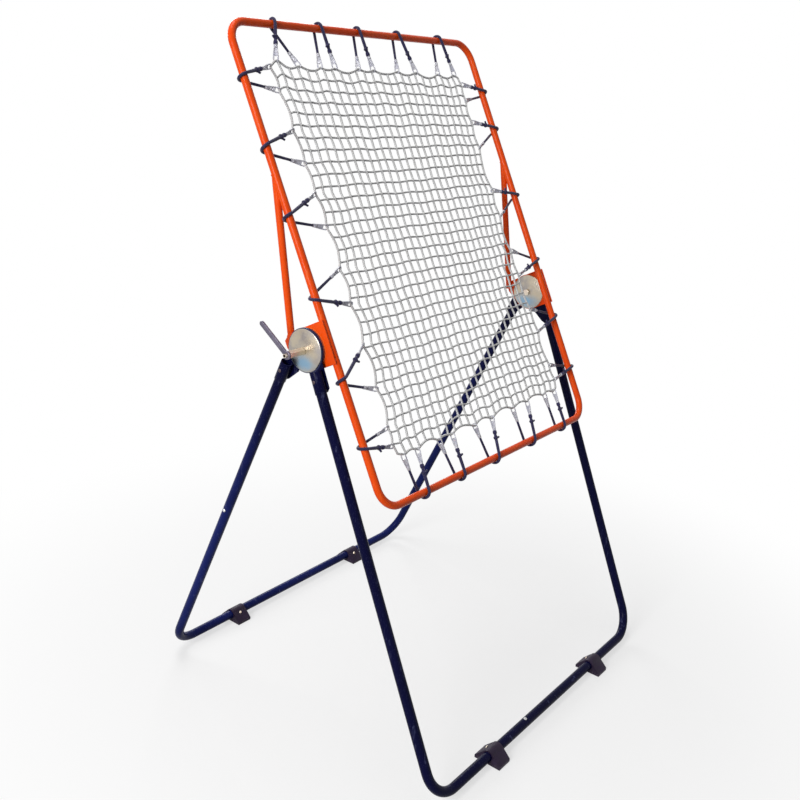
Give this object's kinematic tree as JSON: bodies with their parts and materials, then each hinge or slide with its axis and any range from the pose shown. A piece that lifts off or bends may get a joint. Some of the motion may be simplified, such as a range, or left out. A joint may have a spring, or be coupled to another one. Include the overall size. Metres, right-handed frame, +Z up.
{
  "type": "pitch back rebounder",
  "caption": "Rebound net for ball practice: a sprung net in a tilting tube frame, clamped at side pivots between folding U-shaped legs.",
  "frame": {"origin": "on the floor, under the middle of the pivot axis", "axes": "+Z up, X along the pivot axis with +X to the right of someone facing the net, -Y to the front"},
  "size_m": [1.139, 1.026, 1.7402],
  "materials": {
    "orange_paint": "gloss",
    "navy_paint": "gloss",
    "zinc": "satin",
    "yellow_zinc": "satin",
    "lever_steel": "satin",
    "bright_steel": "polished",
    "rivet_steel": "satin",
    "foot_rubber": "matte",
    "net_cord": "twisted cord",
    "bungee_cord": "braided",
    "hook_plastic": "clear gloss"
  },
  "bodies": {
    "front_leg": {"front_left_tube": "navy_paint", "front_right_tube": "navy_paint", "front_left_bracket": "navy_paint", "front_right_bracket": "navy_paint", "front_bracket_rivets": "rivet_steel", "front_left_foot": "foot_rubber", "front_right_foot": "foot_rubber", "front_foot_screws": "yellow_zinc", "left_pivot_bolt": "yellow_zinc", "right_pivot_bolt": "yellow_zinc", "left_outer_disc": "zinc", "right_outer_disc": "zinc", "left_inner_disc": "zinc", "right_inner_disc": "zinc", "left_friction_discs": "zinc", "right_friction_discs": "zinc"},
    "rear_leg": {"rear_lower_tube": "navy_paint", "rear_left_upper_tube": "navy_paint", "rear_right_upper_tube": "navy_paint", "rear_left_bracket": "navy_paint", "rear_right_bracket": "navy_paint", "rear_bracket_rivets": "rivet_steel", "rear_left_foot": "foot_rubber", "rear_right_foot": "foot_rubber", "rear_foot_screws": "yellow_zinc"},
    "net_frame": {"frame_tube": "orange_paint", "left_brace": "orange_paint", "right_brace": "orange_paint", "left_pivot_plate": "orange_paint", "right_pivot_plate": "orange_paint", "net": "net_cord", "top_bungees": "bungee_cord", "bottom_bungees": "bungee_cord", "left_bungees": "bungee_cord", "right_bungees": "bungee_cord", "top_hooks": "hook_plastic", "bottom_hooks": "hook_plastic", "left_hooks": "hook_plastic", "right_hooks": "hook_plastic"},
    "left_clamp": {"left_clamp_nut": "yellow_zinc", "left_lever": "lever_steel"},
    "right_clamp": {"right_clamp_nut": "yellow_zinc", "right_lever": "lever_steel"},
    "front_button": {"front_rail_button": "bright_steel"},
    "left_button": {"rear_left_button": "bright_steel"},
    "right_button": {"rear_right_button": "bright_steel"}
  },
  "joints": [
    {"name": "rear_leg_fold", "type": "hinge", "parent": "front_leg", "child": "rear_leg", "pos_m": [0, 0, 1.02], "axis": [1, 0, 0], "range_deg": [-42, 0]},
    {"name": "net_frame_tilt", "type": "hinge", "parent": "front_leg", "child": "net_frame", "pos_m": [0, 0, 1.02], "axis": [1, 0, 0], "range_deg": [-47.5, 27.5]},
    {"name": "left_clamp_turn", "type": "hinge", "parent": "front_leg", "child": "left_clamp", "pos_m": [-0.54, 0, 1.02], "axis": [1, 0, 0], "range_deg": [-180, 0]},
    {"name": "right_clamp_turn", "type": "hinge", "parent": "front_leg", "child": "right_clamp", "pos_m": [0.54, 0, 1.02], "axis": [1, 0, 0], "range_deg": [0, 180]},
    {"name": "front_button_press", "type": "slide", "parent": "front_leg", "child": "front_button", "axis": [0, 0, 1], "range_m": [-0.0045, 0], "stiffness_N_per_m": 1200, "springref_m": 0.003},
    {"name": "left_button_press", "type": "slide", "parent": "rear_leg", "child": "left_button", "axis": [-1, 0, 0], "range_m": [-0.0045, 0], "stiffness_N_per_m": 1200, "springref_m": 0.003},
    {"name": "right_button_press", "type": "slide", "parent": "rear_leg", "child": "right_button", "axis": [1, 0, 0], "range_m": [-0.0045, 0], "stiffness_N_per_m": 1200, "springref_m": 0.003}
  ]
}
